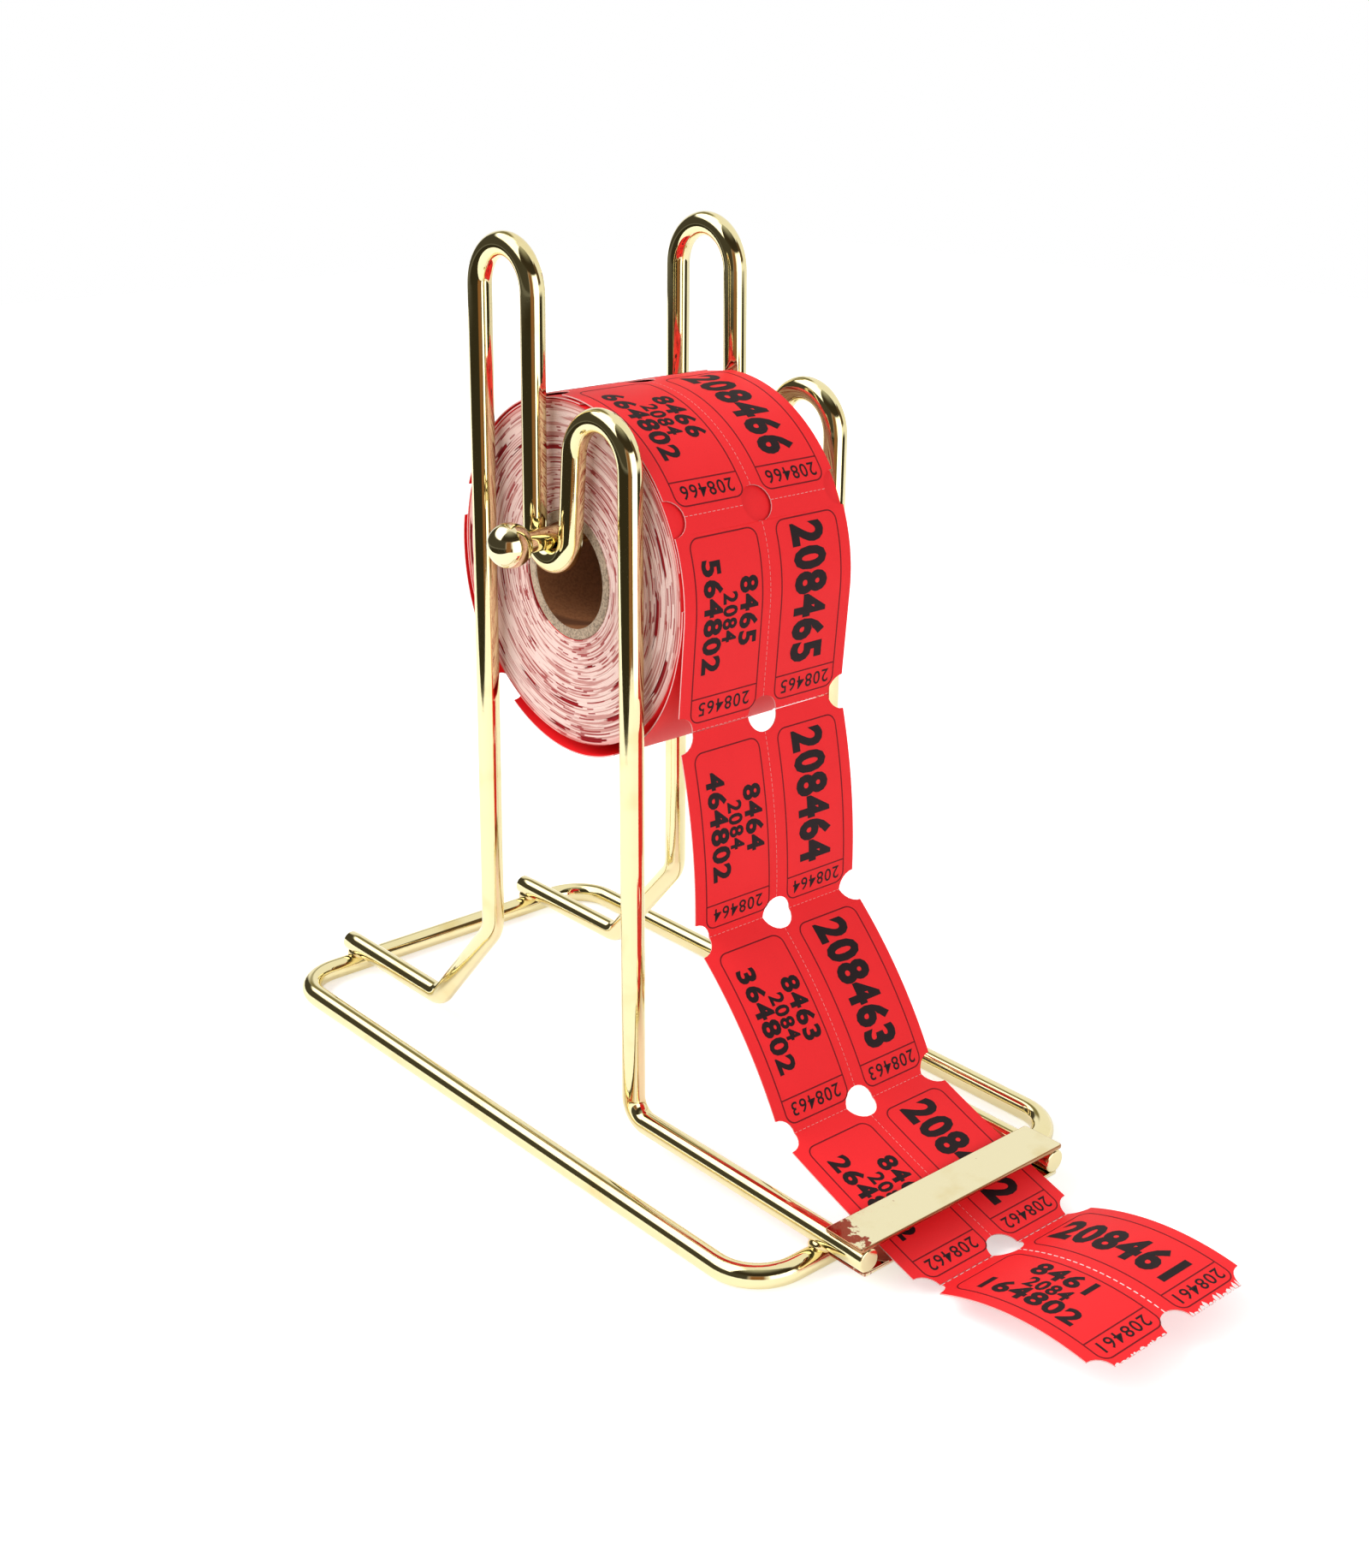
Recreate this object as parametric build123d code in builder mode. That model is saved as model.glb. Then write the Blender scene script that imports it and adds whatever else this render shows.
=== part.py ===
"""Counter ticket roll stand: a bent-wire stand that feeds double tickets off a roll.

+Z is up, -Y is the way the tickets leave, and +X is to the right of someone who faces
the stand from the front. The origin is on the counter, under the middle of the whole
length. In side views, sizes are taken ahead of the rear cross wire and up from the
counter. All sizes are in millimetres.
"""

from build123d import *
from math import asin, atan2, cos, degrees, hypot, radians, sin, sqrt
import os

# --- Wire base and side frames ------------------------------------------------------
wire_d = 5.7  # round wire of the base ring and of both side frames
weld_set = 0.2  # how far two crossing wires are pressed into each other
weld_bead_d = 3.8  # squeezed-out metal round each crossing weld
base_width = 103.4  # between the centre lines of the base ring's long sides
base_length = 194.0  # between the centre lines of its rear and front cross wires
base_corner_r = 12.0
strip_play = 5.4  # free width between the side frames, over the strip's own
foot_overhang = 3.5  # rear foot tip, behind the rear cross wire's centre line
runner_overhang = 14.5  # runner tip, ahead of the front cross wire's centre line

# --- Bends of a side frame, on the wire's centre line ---------------------------------
heel_ahead = 40.4  # centre of the bend where the rear foot turns up
heel_r = 6.0
knee_ahead = 62.0  # centre of the bend from the sloping run into the rear upright
knee_up = 41.2
knee_r = 8.0
saddle_ahead = 100.5  # centre of the saddle that the axle rests in
saddle_up = 149.5
saddle_r = 6.8
loop_rise = 52.9  # centre of the tall loop's top bend, above the saddle's
left_loop_back = 15.3  # and behind it
left_loop_r = 10.2
right_loop_back = 17.6  # the right one was bent a little wider and further back
right_loop_r = 10.6
hump_rise = 18.2  # centre of the low loop, above the saddle's
hump_out = 18.7  # and in front of it
hump_r = 10.0
toe_ahead = 133.1  # centre of the bend from the front upright into the runner
toe_r = 5.5

# --- Throat that the strip is drawn through and torn against --------------------------
plate_t = 1.0
plate_seat = 0.1  # how far the plates are pressed into the runners
tear_plate_side = 2.45  # how far its ends pass the runners' centre lines
tear_plate_depth = 11.5
throat_plate_side = 1.25
throat_plate_depth = 11.7
plate_corner_r = 0.8
plate_edge_r = 0.25

# --- Axle rod with a ball on each end -----------------------------------------------
rod_d = 5.3
ball_d = 10.5
ball_stand_off = 4.0  # bare rod between a side frame and a ball
ball_socket = 4.6  # how deep the rod goes into a ball
rod_end_chamfer = 0.5
saddle_gap = 0.15  # running gap between the rod and the saddles
hang_gap = 0.2  # running gap between the rod and the top of the core's bore

# --- Ticket roll ------------------------------------------------------------------
core_bore_d = 25.4
core_wall = 2.6
core_gap = 0.1  # between the core and the first turn
roll_d = 84.0  # over the tight part of the outer turn
roll_side_gap = 1.3  # between the left side frame and the roll, which has slid that way
ticket_width = 25.4  # one of the two tickets side by side
ticket_t = 0.3
perforation_gap = 0.2
notch_d = 8.6  # round hole, or edge notch, where perforations cross
turn_clearance = 0.3  # between the spinning winding and the loose outer turn
self_gap = 0.5  # between the outer turn's start and its tail beneath it
tight_sweep = 105.0  # degrees of the outer turn that lie close to the winding
loose_r = 42.8  # radius of the part that sags away from the winding
loose_sweep = 150.0
tail_sweep = 96.0  # degrees of the part that comes back to the winding

# --- Hanging strip: perforated rows from the roll down to the counter -------------------
leave_angle = -5.1  # degrees, from straight ahead, where the strip leaves the roll
hang_run = 25.6  # from there to the row where the outer turn ends
knee_row_ahead = 144.7
knee_row_up = 59.8
lead_row_in = 35.0  # the row before the throat, behind the runners' tips
lead_row_rise = 11.75  # and above their centre lines
fold_row_out = 10.6  # the row after the throat, in front of the runners' tips
fold_row_drop = 5.75  # and below their centre lines
hang_bow = 2.0  # how far each ticket bows towards the front
knee_bow = 2.6
lead_bow = -0.6
hang_x = -1.0  # middle of each pair in turn: the strip drifts to the right as it drops
knee_x = 0.0
lead_x = 1.2

# --- End ticket, beyond the fold --------------------------------------------------
fold_gap = 0.3
end_ticket_reach = 46.8  # from the fold to the torn edge, along the counter
end_ticket_rise = 5.6  # torn edge above the fold: the card springs up off the counter
end_ticket_bow = 4.2
end_ticket_x = 1.6

# --- Places worked out from the sizes above ----------------------------------------
wire_r = wire_d / 2
strip_width = 2 * ticket_width
frame_spacing = strip_width + strip_play + wire_d
frame_x = frame_spacing / 2
roll_x = roll_side_gap - strip_play / 2
runner_reach = base_length + runner_overhang
runner_up = 1.5 * wire_d - weld_set
rod_up = saddle_up - saddle_r + wire_r + saddle_gap + rod_d / 2
axis_up = rod_up + rod_d / 2 + hang_gap - core_bore_d / 2
ball_x = frame_x + wire_r + ball_stand_off + ball_d / 2
core_r = core_bore_d / 2 + core_wall
tight_r = roll_d / 2 - ticket_t / 2
tail_r = tight_r - ticket_t - self_gap
winding_r = tail_r - ticket_t / 2 - turn_clearance
roll_axis = Vector(saddle_ahead, axis_up)
leave_lean = radians(leave_angle)
hang_row = (
    saddle_ahead + tight_r * cos(leave_lean) + hang_run * sin(leave_lean),
    axis_up + tight_r * sin(leave_lean) - hang_run * cos(leave_lean),
)
knee_row = (knee_row_ahead, knee_row_up)
lead_row = (runner_reach - lead_row_in, runner_up + lead_row_rise)
fold_row = (runner_reach + fold_row_out, runner_up - fold_row_drop)
end_row = (fold_row[0] + end_ticket_reach, fold_row[1] + end_ticket_rise)
rear_y = (end_row[0] - foot_overhang) / 2


def side_view(x):
    """Plane of a side view at x: its own x runs ahead, its own y runs up."""
    return Plane(origin=(x, rear_y, 0), x_dir=(0, -1, 0), z_dir=(-1, 0, 0))


def plan_view(up):
    """Plane of a plan view, with its own origin on the rear cross wire."""
    return Plane(origin=(0, rear_y, up))


def save(builder, name):
    """Label a finished piece and write it under its node's name."""
    builder.part.label = name
    export_step(builder.part, f"parts/{name}.step")


os.makedirs("parts", exist_ok=True)


# --- Base ring: one closed ring of wire that lies on the counter -----------------------
with BuildPart() as base_ring:
    with BuildLine(plan_view(wire_r)) as ring_line:
        half = base_width / 2
        FilletPolyline(
            (-half, 0), (-half, -base_length), (half, -base_length), (half, 0),
            radius=base_corner_r, close=True,
        )
    ring_start = ring_line.wire()
    with BuildSketch(Plane(origin=ring_start @ 0, z_dir=ring_start % 0)):
        Circle(wire_r)
    sweep(path=ring_line.wire())
save(base_ring, "base_ring")


# --- Plates of the throat, above and below the runners --------------------------------
def flat_plate(width, depth, under_up):
    """A rectangular plate that ends level with the runners' tips."""
    centre = plan_view(under_up).shift_origin((0, rear_y - runner_reach + depth / 2, under_up))
    with BuildPart() as plate:
        with BuildSketch(centre):
            RectangleRounded(width, depth, plate_corner_r)
        extrude(amount=plate_t)
        flat_faces = plate.faces().filter_by(Axis.Z)
        fillet(flat_faces.edges(), plate_edge_r)
    return plate


tear_plate = flat_plate(
    frame_spacing + 2 * tear_plate_side, tear_plate_depth, runner_up + wire_r - plate_seat
)
save(tear_plate, "tear_plate")
throat_plate = flat_plate(
    frame_spacing + 2 * throat_plate_side,
    throat_plate_depth,
    runner_up - wire_r + plate_seat - plate_t,
)
save(throat_plate, "throat_plate")


# --- Side frames: each is one wire, bent in one plane ---------------------------------
# A bend is (ahead, up, radius, turn): turn is +1 where the wire turns anticlockwise.
def frame_bends(loop_back, loop_r):
    """The bends of one side's wire, from the rear foot tip to the runner tip."""
    return [
        (-foot_overhang, runner_up, 0, 1),
        (heel_ahead, runner_up + heel_r, heel_r, 1),
        (knee_ahead, knee_up, knee_r, 1),
        (saddle_ahead - loop_back, saddle_up + loop_rise, loop_r, -1),
        (saddle_ahead, saddle_up, saddle_r, 1),
        (saddle_ahead + hump_out, saddle_up + hump_rise, hump_r, -1),
        (toe_ahead, runner_up + toe_r, toe_r, 1),
        (runner_reach, runner_up, 0, 1),
    ]


def run_between(bend_a, bend_b):
    """Start, end and heading of the straight run tangent to two bends in turn."""
    (ax, ay, a_r, a_turn), (bx, by, b_r, b_turn) = bend_a, bend_b
    lean = asin((a_turn * a_r - b_turn * b_r) / hypot(bx - ax, by - ay))
    heading = atan2(by - ay, bx - ax) + lean
    right_x, right_y = sin(heading), -cos(heading)
    start = (ax + right_x * a_turn * a_r, ay + right_y * a_turn * a_r)
    end = (bx + right_x * b_turn * b_r, by + right_y * b_turn * b_r)
    return start, end, heading


def side_frame(x, bends):
    """The bent wire of one side, seated on the base ring and under the plates."""
    runs = [run_between(a, b) for a, b in zip(bends, bends[1:])]
    with BuildPart() as frame:
        with BuildLine(side_view(x)) as frame_line:
            for start, end, heading in runs:
                Line(start, end)
            for bend, run_in, run_out in zip(bends[1:], runs, runs[1:]):
                turned = (degrees(run_out[2] - run_in[2]) * bend[3]) % 360
                along = (cos(run_in[2]), sin(run_in[2]))
                JernArc(run_in[1], along, bend[2], bend[3] * turned)
        wire_path = frame_line.wire()
        with BuildSketch(Plane(origin=wire_path @ 0, z_dir=wire_path % 0)):
            Circle(wire_r)
        sweep(path=wire_path)
        add(base_ring.part, mode=Mode.SUBTRACT)
        add(tear_plate.part, mode=Mode.SUBTRACT)
        add(throat_plate.part, mode=Mode.SUBTRACT)
    return frame


side_frames = {
    "left": side_frame(-frame_x, frame_bends(left_loop_back, left_loop_r)),
    "right": side_frame(frame_x, frame_bends(right_loop_back, right_loop_r)),
}
for hand, frame in side_frames.items():
    save(frame, f"side_frame_{hand}")


# --- Welds: a thin bead of squeezed-out metal where a frame crosses the ring -----------
with BuildPart() as weld_beads:
    crossings = [
        (x, rear_y - ahead, wire_d - weld_set / 2)
        for x in (-frame_x, frame_x)
        for ahead in (0, base_length)
    ]
    with Locations(*crossings):
        Cylinder(weld_bead_d / 2, wire_r / 2)
    for welded in (base_ring, *side_frames.values()):
        add(welded.part, mode=Mode.SUBTRACT)
save(weld_beads, "weld_beads")


# --- Axle: a rod laid in both saddles, with a ball pressed on each end ------------------
rod_place = Location((0, rear_y - saddle_ahead, rod_up), (0, 90, 0))
with BuildPart() as axle_rod:
    with Locations(rod_place):
        Cylinder(rod_d / 2, 2 * (ball_x - ball_d / 2 + ball_socket))
    chamfer(axle_rod.edges().filter_by(GeomType.CIRCLE), rod_end_chamfer)
save(axle_rod, "axle_rod")

for hand, x in (("left", -ball_x), ("right", ball_x)):
    with BuildPart() as ball:
        with Locations((x, rear_y - saddle_ahead, rod_up)):
            Sphere(ball_d / 2, rotation=(0, 90, 0))
        add(axle_rod.part, mode=Mode.SUBTRACT)
    save(ball, f"ball_{hand}")


# --- Roll: a board core with the close turns of the strip as one ring -------------------
def ring_body(inner_r, outer_r):
    """A plain ring as wide as the strip, round the roll's axis."""
    with BuildPart() as ring:
        with BuildSketch(side_view(roll_x + strip_width / 2)):
            with Locations(roll_axis):
                Circle(outer_r)
                Circle(inner_r, mode=Mode.SUBTRACT)
        extrude(amount=strip_width)
    return ring


save(ring_body(core_bore_d / 2, core_r), "roll_core")
save(ring_body(core_r + core_gap, winding_r), "ticket_winding")


# --- Outer turn: the one loose layer of strip, from its tail up over the roll -----------
def point_at(centre, radius, angle):
    """Point on a circle in the side view; angle in degrees, anticlockwise from ahead."""
    return centre + Vector(cos(radians(angle)), sin(radians(angle))) * radius


tight_end = leave_angle + tight_sweep
loose_end = tight_end + loose_sweep
tail_end = loose_end + tail_sweep
loose_centre = point_at(roll_axis, tight_r - loose_r, tight_end)
loose_stop = point_at(loose_centre, loose_r, loose_end)
# The tail's radius is the one that brings its end to tail_r from the roll's axis.
reach = loose_stop - roll_axis
chord = point_at(Vector(0, 0), 1, tail_end) - point_at(Vector(0, 0), 1, loose_end)
half_b = reach.dot(chord)
miss = reach.dot(reach) - tail_r**2
tail_bend_r = (-half_b + sqrt(half_b**2 - chord.dot(chord) * miss)) / chord.dot(chord)

with BuildPart() as outer_turn:
    with BuildSketch(side_view(roll_x + strip_width / 2)):
        with BuildLine() as turn_line:
            hang = Line(hang_row, point_at(roll_axis, tight_r, leave_angle))
            tight = JernArc(hang @ 1, hang % 1, tight_r, tight_sweep)
            loose = JernArc(tight @ 1, tight % 1, loose_r, loose_sweep)
            tail = JernArc(loose @ 1, loose % 1, tail_bend_r, tail_sweep)
        trace(line_width=ticket_t)
    extrude(amount=strip_width)
save(outer_turn, "outer_turn")

tail_points = [tail @ (step / 60) for step in range(61)]
start_points = [hang @ (step / 60) for step in range(61)]
start_points += [tight @ (step / 200) for step in range(201)]
least_self_gap = min((a - b).length for a in tail_points for b in start_points) - ticket_t
loose_points = tail_points + [loose @ (step / 100) for step in range(101)]
least_run_gap = min((point - roll_axis).length for point in loose_points)
least_run_gap -= winding_r + ticket_t / 2
print(f"outer turn: least gap to itself {least_self_gap:.2f}, to the winding {least_run_gap:.2f}")


# --- Tickets: two side by side in each row of the strip --------------------------------
def ticket(start_row, end_row, bow, inner_x, outer_x, gap_start, gap_end):
    """One ticket between two perforated rows, with a round bite out of each corner."""
    with BuildPart() as card:
        with BuildSketch(side_view(max(inner_x, outer_x))):
            with BuildLine():
                arc = SagittaArc(start_row, end_row, bow, mode=Mode.PRIVATE)
                add(arc.trim(gap_start / arc.length, 1 - gap_end / arc.length))
            trace(line_width=ticket_t)
        extrude(amount=abs(outer_x - inner_x))
        for row, heading in ((start_row, arc % 0), (end_row, arc % 1)):
            tilt = -degrees(atan2(heading.Y, heading.X))
            for x in (inner_x, outer_x):
                with Locations(Location((x, rear_y - row[0], row[1]), (tilt, 0, 0))):
                    Cylinder(notch_d / 2, notch_d, mode=Mode.SUBTRACT)
    return card


half_gap = perforation_gap / 2
ticket_pairs = [
    ("hanging_ticket", hang_row, knee_row, hang_bow, hang_x, half_gap, half_gap),
    ("knee_ticket", knee_row, lead_row, knee_bow, knee_x, half_gap, half_gap),
    ("throat_ticket", lead_row, fold_row, lead_bow, lead_x, half_gap, half_gap),
    ("end_ticket", fold_row, end_row, end_ticket_bow, end_ticket_x, fold_gap, 0),
]
for name, row_a, row_b, bow, middle_x, gap_a, gap_b in ticket_pairs:
    for hand, sign in (("left", -1), ("right", 1)):
        inner, outer = middle_x + sign * half_gap, middle_x + sign * ticket_width
        save(ticket(row_a, row_b, bow, inner, outer, gap_a, gap_b), f"{name}_{hand}")
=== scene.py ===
"""Counter ticket roll stand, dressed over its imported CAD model.

A bent-wire stand plated a pale gold, with a roll of double tickets on a lift-out axle. The
strip hangs from the front of the roll and leaves through a throat with a tear plate.
Positions are given as in the part's side view: x across, ahead of the rear cross wire, and
up from the counter, all in millimetres.
"""

from bisect import bisect_right
from math import asin, atan2, ceil, cos, degrees, hypot, pi, radians, sin, sqrt
import random

import bmesh
import bpy
from mathutils import Matrix, Vector


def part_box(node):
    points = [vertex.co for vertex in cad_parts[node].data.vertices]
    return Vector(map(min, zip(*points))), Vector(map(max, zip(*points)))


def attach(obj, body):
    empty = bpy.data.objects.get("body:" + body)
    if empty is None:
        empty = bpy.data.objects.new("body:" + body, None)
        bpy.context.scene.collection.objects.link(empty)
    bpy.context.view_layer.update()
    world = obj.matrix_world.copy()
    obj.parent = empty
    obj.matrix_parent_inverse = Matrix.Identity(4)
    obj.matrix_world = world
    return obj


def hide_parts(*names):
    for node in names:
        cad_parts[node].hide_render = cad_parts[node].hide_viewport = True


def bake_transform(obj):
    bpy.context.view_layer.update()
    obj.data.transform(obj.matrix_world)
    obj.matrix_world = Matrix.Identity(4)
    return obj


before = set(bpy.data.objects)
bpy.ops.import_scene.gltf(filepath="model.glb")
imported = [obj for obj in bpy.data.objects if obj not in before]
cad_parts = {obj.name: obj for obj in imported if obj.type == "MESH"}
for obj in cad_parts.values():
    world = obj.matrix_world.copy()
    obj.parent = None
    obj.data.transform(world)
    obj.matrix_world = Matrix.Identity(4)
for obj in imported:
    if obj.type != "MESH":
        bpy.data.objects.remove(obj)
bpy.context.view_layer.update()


# --- Camera ---------------------------------------------------------------------------
# Fitted to the wires, plates and strip in the photograph: it stands in front of the stand
# and to its left, nearly twice as high as the roll's axis.
mm = 0.001
wire_d = 5.7
rear_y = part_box("base_ring")[1].y - wire_d / 2 * mm


def place(x, ahead, up):
    """A point of the object's side view in the frame's metres."""
    return Vector((x * mm, rear_y - ahead * mm, up * mm))


def in_scene(name, data):
    """A new object at the scene's origin, with this mesh or other data in it."""
    thing = bpy.data.objects.new(name, data)
    bpy.context.scene.collection.objects.link(thing)
    return thing


camera_stand = (-297.179, 460.860, 259.709)
camera_heading = -40.3128
looks_down = 21.0749
camera_roll = -0.1471
camera_lens = bpy.data.cameras.new("camera")
camera_lens.sensor_width = 36
camera_lens.lens = 45.681
camera_lens.clip_start = 0.01
camera = in_scene("camera", camera_lens)
camera.matrix_world = (
    Matrix.Translation(place(*camera_stand))
    @ Matrix.Rotation(radians(camera_heading), 4, "Z")
    @ Matrix.Rotation(radians(90 - looks_down), 4, "X")
    @ Matrix.Rotation(radians(camera_roll), 4, "Z")
)
bpy.context.scene.camera = camera
bpy.context.scene.view_settings.view_transform = "Standard"


# --- Studio ---------------------------------------------------------------------------
# A white table top in a pale room with dark places and two bright panels, one low in
# front on the right and one high on the left, which the wire mirrors as bands and white
# streaks. Three soft lamps, which it doesn't mirror, light the card and the table.
def add_node(tree, kind, inputs=None, **settings):
    """Adds a node. Each input gets a value, or the output socket that feeds it."""
    node = tree.nodes.new(kind)
    for name, value in settings.items():
        setattr(node, name, value)
    for name, value in (inputs or {}).items():
        if isinstance(value, bpy.types.NodeSocket):
            tree.links.new(value, node.inputs[name])
        else:
            node.inputs[name].default_value = value
    return node


def worked(tree, operation, *values):
    """The output of one Math node."""
    return add_node(tree, "ShaderNodeMath", dict(enumerate(values)), operation=operation).outputs[0]


def times(tree, a, b):
    """The product of two values."""
    return worked(tree, "MULTIPLY", a, b)


def vector_worked(tree, operation, *values):
    """The outputs of one Vector Math node."""
    return add_node(tree, "ShaderNodeVectorMath", dict(enumerate(values)), operation=operation).outputs


def eased(tree, value, low, high):
    """0 below low and 1 above high, with a soft step between."""
    return add_node(
        tree, "ShaderNodeMapRange",
        {"Value": value, "From Min": low, "From Max": high},
        interpolation_type="SMOOTHSTEP",
    ).outputs["Result"]


def between(tree, value, low, high, soft):
    """1 from low to high and 0 outside them, with soft steps."""
    return times(
        tree, eased(tree, value, low - soft, low + soft), eased(tree, value, high + soft, high - soft)
    )


def mixed(tree, share, colour_a, colour_b):
    """colour_a where share is 0 and colour_b where it is 1."""
    node = tree.nodes.new("ShaderNodeMix")
    node.data_type = "RGBA"
    sockets = (node.inputs[0], node.inputs[6], node.inputs[7])
    for socket, value in zip(sockets, (share, colour_a, colour_b)):
        if isinstance(value, bpy.types.NodeSocket):
            tree.links.new(value, socket)
        elif isinstance(value, tuple):
            socket.default_value = (*value, 1)
        else:
            socket.default_value = value
    return node.outputs[2]


def emptied(owner):
    """The cleared node tree of a material or world."""
    owner.use_nodes = True
    owner.node_tree.nodes.clear()
    return owner.node_tree


def new_finish(name):
    """A new material, its node tree, and the socket that gives each place in metres."""
    finish = bpy.data.materials.new(name)
    tree = emptied(finish)
    return finish, tree, add_node(tree, "ShaderNodeTexCoord").outputs["Object"]


def round_box(x_from, x_to, y_from, y_to, corner_r, steps):
    """A rectangle's outline with round corners, anticlockwise from its right far one.

    corner_r is a radius for each: right far, left far, left near and right near.
    """
    right_far, left_far, left_near, right_near = corner_r
    loop = []
    for x, y, r, turn in (
        (x_to - right_far, y_to - right_far, right_far, 0),
        (x_from + left_far, y_to - left_far, left_far, 90),
        (x_from + left_near, y_from + left_near, left_near, 180),
        (x_to - right_near, y_from + right_near, right_near, 270),
    ):
        for step in range(steps + 1):
            angle = radians(turn + 90 * step / steps)
            loop.append((x + r * cos(angle), y + r * sin(angle)))
    return loop


camera_turn = radians(40.3)  # the room's angles are counted from the camera's side
room = bpy.data.worlds.new("room")
air = emptied(room)
ray = add_node(air, "ShaderNodeTexCoord").outputs["Generated"]
turned = add_node(air, "ShaderNodeMapping", {"Vector": ray, "Rotation": (0, 0, camera_turn)})
across, towards, upwards = add_node(air, "ShaderNodeSeparateXYZ", {0: turned.outputs[0]}).outputs
behind = times(air, towards, -1.0)
round_room = worked(air, "DEGREES", worked(air, "ARCTAN2", across, behind))
up_room = worked(air, "DEGREES", worked(air, "ARCSINE", upwards))

# Each patch of the room: its colour, above 1 in a bright panel, and in degrees from where
# to where it reaches round the room and up it, and how soft its edge is.
room_patches = [
    ((0.062, 0.056, 0.040), (-152, -14), (-6, 34), 5),
    ((0.034, 0.029, 0.017), (-152, 100), (-90, -4), 5),
    ((0.280, 0.130, 0.050), (-14, 13), (-26, 30), 5),
    ((2.300, 2.280, 2.250), (20, 66), (-27, 28), 3),
    ((2.100, 2.080, 2.050), (-148, -50), (34, 78), 3),
    ((0.240, 0.215, 0.110), (-174, -150), (24, 62), 6),
    ((0.110, 0.070, 0.035), (67, 95), (9, 44), 3),
]
seen = (0.95, 0.94, 0.88)
dark_front = mixed(air, eased(air, up_room, 48.0, 94.0), (0.040, 0.031, 0.018), (0.52, 0.52, 0.42))
in_front = times(air, eased(air, round_room, -54.0, -46.0), eased(air, round_room, 84.0, 72.0))
above_panel = times(air, in_front, eased(air, up_room, 24.0, 32.0))
seen = mixed(air, above_panel, seen, dark_front)
for colour, (round_from, round_to), (up_from, up_to), soft in room_patches:
    inside = times(
        air,
        between(air, round_room, round_from, round_to, soft),
        between(air, up_room, up_from, up_to, soft),
    )
    seen = mixed(air, inside, seen, colour)
room_fill = (0.53, 0.53, 0.53)
backdrop_white = (1.0, 1.0, 1.0)
ray_kind = add_node(air, "ShaderNodeLightPath").outputs
lit = mixed(air, ray_kind["Is Diffuse Ray"], seen, room_fill)
lit = mixed(air, ray_kind["Is Camera Ray"], lit, backdrop_white)
glow = add_node(air, "ShaderNodeBackground", {"Color": lit, "Strength": 1.0})
add_node(air, "ShaderNodeOutputWorld", {"Surface": glow.outputs[0]})
bpy.context.scene.world = room

# The table top, in metres: its near corner lies in front of the stand, on the left.
near_corner_r = 0.16
far_corner_r = 0.2
table_corners = (far_corner_r, far_corner_r, near_corner_r, far_corner_r)
table_loop = round_box(-0.31, 1.5, -0.33, 1.6, table_corners, 16)
table_mesh = bpy.data.meshes.new("table_top")
table_mesh.from_pydata([(x, y, 0) for x, y in table_loop], [], [range(len(table_loop))])
table_top = in_scene("table_top", table_mesh)
table_white, nodes, spot = new_finish("table white")
ray_kind = add_node(nodes, "ShaderNodeLightPath").outputs
mirrored = worked(nodes, "MAXIMUM", ray_kind["Is Glossy Ray"], ray_kind["Is Transmission Ray"])
away = vector_worked(nodes, "LENGTH", spot)["Value"]
near_glow, added_further, mirrored_glow = 0.50, 0.20, 0.26
further = eased(nodes, away, 0.14, 0.40)  # metres from the stand's middle
whiter_away = worked(nodes, "ADD", times(nodes, further, added_further), near_glow)
shown = worked(
    nodes, "ADD",
    times(nodes, ray_kind["Is Camera Ray"], whiter_away), times(nodes, mirrored, mirrored_glow),
)
paper_white = add_node(nodes, "ShaderNodeBsdfDiffuse", {"Color": (0.80, 0.80, 0.79, 1)})
whitening = add_node(nodes, "ShaderNodeEmission", {"Color": (1.0, 1.0, 0.99, 1), "Strength": shown})
both = add_node(nodes, "ShaderNodeAddShader", {0: paper_white.outputs[0], 1: whitening.outputs[0]})
add_node(nodes, "ShaderNodeOutputMaterial", {"Surface": both.outputs[0]})
table_mesh.materials.append(table_white)

# Lamps: name, power in watts, side in metres, and where it stands in metres.
lamps = [
    ("lamp_above_left", 17.0, 1.0, (-0.85, 0.75, 1.15)),
    ("lamp_front_right", 6.0, 0.7, (0.35, -1.30, 0.45)),
    ("lamp_left", 8.0, 1.0, (-1.45, -0.10, 0.55)),
]
lamps_aim = Vector((0, 0, 0.1))
for name, power, side, stand in lamps:
    lamp = bpy.data.lights.new(name, "AREA")
    lamp.energy = power
    lamp.size = side
    holder = in_scene(name, lamp)
    holder.location = stand
    holder.rotation_euler = (lamps_aim - holder.location).to_track_quat("-Z", "Y").to_euler()
    holder.visible_glossy = False


# --- Base ring ------------------------------------------------------------------------
# One length of steel wire bent into a rounded rectangle and butt-welded closed, then
# plated. It lies on the counter, and the side frames are welded across it.
def start_tree(name, inputs):
    """A geometry tree: its mesh comes in as Path, with a named input for each size."""
    tree = bpy.data.node_groups.new(name, "GeometryNodeTree")
    tree.interface.new_socket("Path", in_out="INPUT", socket_type="NodeSocketGeometry")
    for label, kind in inputs.items():
        tree.interface.new_socket(label, in_out="INPUT", socket_type="NodeSocket" + kind)
    tree.interface.new_socket("Piece", in_out="OUTPUT", socket_type="NodeSocketGeometry")
    return tree, tree.nodes.new("NodeGroupInput").outputs


def finish_tree(tree, shape, finish):
    """Ends a tree in plain geometry with its material."""
    plain = add_node(tree, "GeometryNodeRealizeInstances", {"Geometry": shape})
    coated = add_node(
        tree, "GeometryNodeSetMaterial", {"Geometry": plain.outputs[0], "Material": finish}
    )
    add_node(tree, "NodeGroupOutput", {"Piece": coated.outputs[0]})


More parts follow.
